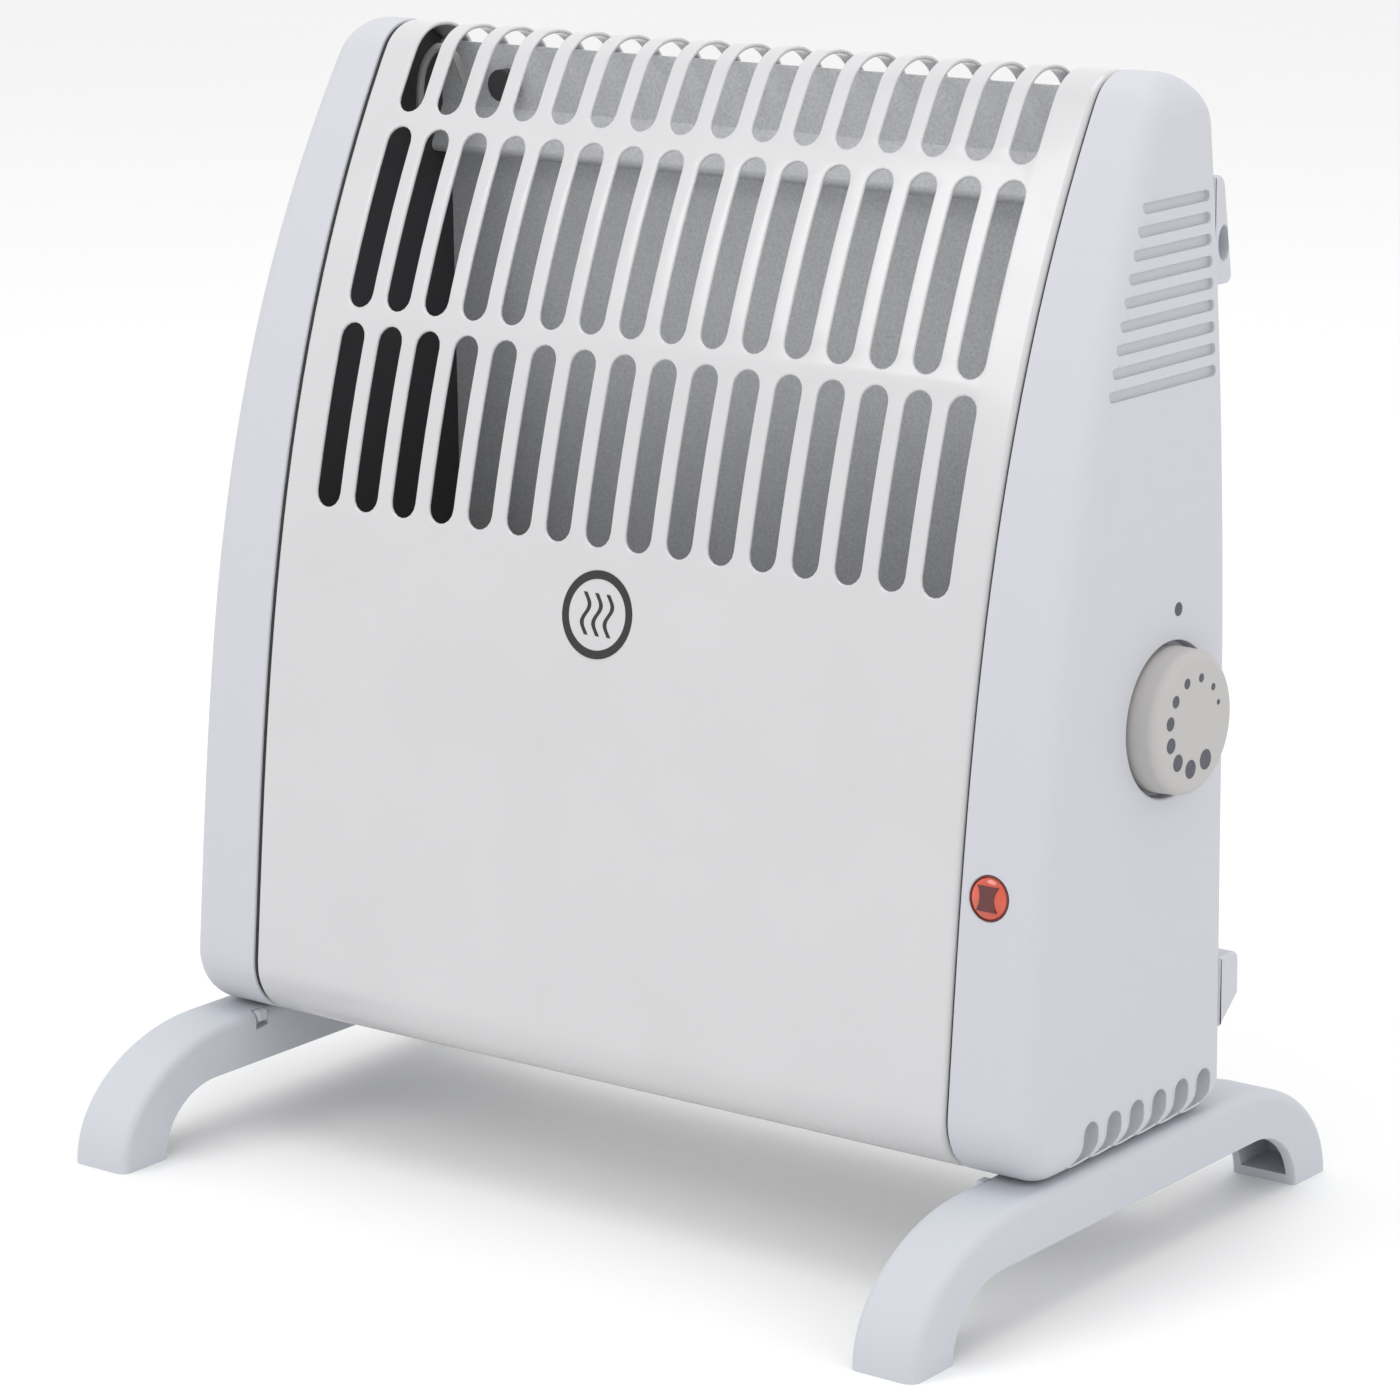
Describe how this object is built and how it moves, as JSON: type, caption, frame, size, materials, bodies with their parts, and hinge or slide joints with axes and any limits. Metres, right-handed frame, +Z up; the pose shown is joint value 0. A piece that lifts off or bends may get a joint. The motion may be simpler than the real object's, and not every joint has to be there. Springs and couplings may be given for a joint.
{
  "type": "frost guard convector heater",
  "caption": "Small free-standing electric convector heater: slotted front cover, moulded end caps on arched feet, thermostat knob on the right side and a round red lamp.",
  "frame": {"origin": "on the floor, under the centre of the heater's overall box", "axes": "+Z up, +Y from the front towards the wall, +X towards the heater's right end with the knob"},
  "size_m": [0.2594, 0.1746, 0.2717],
  "materials": {
    "white_coat": "glossy white powder coat",
    "cap_plastic": "satin light grey moulding",
    "foot_plastic": "satin light grey moulding",
    "knob_plastic": "satin warm grey moulding",
    "lamp_red": "clear red lens",
    "lamp_dark": "dark lamp core",
    "zinc_sheet": "dull zinc-coated sheet",
    "dark_sheet": "dark painted sheet",
    "screw_steel": "plated steel",
    "brass": "plain brass",
    "ceramic": "unglazed ceramic",
    "mica": "pressed mica board",
    "nichrome": "oxidised resistance wire",
    "black_rubber": "matt black",
    "terminal_white": "off-white moulding",
    "wire_white": "white sleeve",
    "wire_brown": "brown insulation",
    "wire_blue": "blue insulation",
    "wire_green": "green insulation"
  },
  "bodies": {
    "heater": {"front_cover": "white_coat", "left_end_cap": "cap_plastic", "right_end_cap": "cap_plastic", "left_foot": "foot_plastic", "right_foot": "foot_plastic", "foot_screw_1": "screw_steel", "foot_screw_2": "screw_steel", "foot_screw_3": "screw_steel", "foot_screw_4": "screw_steel", "upper_wall_lug_left": "cap_plastic", "upper_wall_lug_right": "cap_plastic", "lower_wall_lug_left": "cap_plastic", "lower_wall_lug_right": "cap_plastic", "upper_lug_screw_left": "screw_steel", "upper_lug_screw_right": "screw_steel", "lower_lug_screw_left": "screw_steel", "lower_lug_screw_right": "screw_steel", "left_end_plate": "dark_sheet", "right_end_plate": "zinc_sheet", "rear_panel": "zinc_sheet", "bottom_plate": "zinc_sheet", "element_board": "mica", "resistance_wire": "nichrome", "element_bracket_left": "ceramic", "element_bracket_right": "ceramic", "thermal_cutout": "ceramic", "cutout_clip": "zinc_sheet", "thermostat_bush": "brass", "thermostat_nut": "screw_steel", "thermostat_frame": "zinc_sheet", "thermostat_stack": "ceramic", "thermostat_terminal_1": "brass", "thermostat_terminal_2": "brass", "lamp_lens": "lamp_red", "lamp_holder": "black_rubber", "lamp_bulb": "lamp_dark", "cord_inlet": "black_rubber", "terminal_block": "terminal_white", "live_wire": "wire_brown", "switched_wire": "wire_white", "lamp_wire": "wire_blue", "element_lead": "wire_white", "earth_wire": "wire_green", "earth_screw": "screw_steel"},
    "knob": {"thermostat_knob": "knob_plastic", "thermostat_spindle": "screw_steel"},
    "blade": {"thermostat_blade": "brass"}
  },
  "joints": [
    {"name": "knob_turn", "type": "hinge", "parent": "heater", "child": "knob", "pos_m": [0.12, 0.0135, 0.1278], "axis": [1, 0, 0], "range_deg": [-214, 66]},
    {"name": "blade_bend", "type": "hinge", "parent": "heater", "child": "blade", "pos_m": [0.10275, 0.0135, 0.1148], "axis": [0, 1, 0], "range_deg": [-2, 0.7]}
  ],
  "couplings": [
    {"joint": "blade_bend", "follows": "knob_turn", "ratio": 0.009}
  ]
}
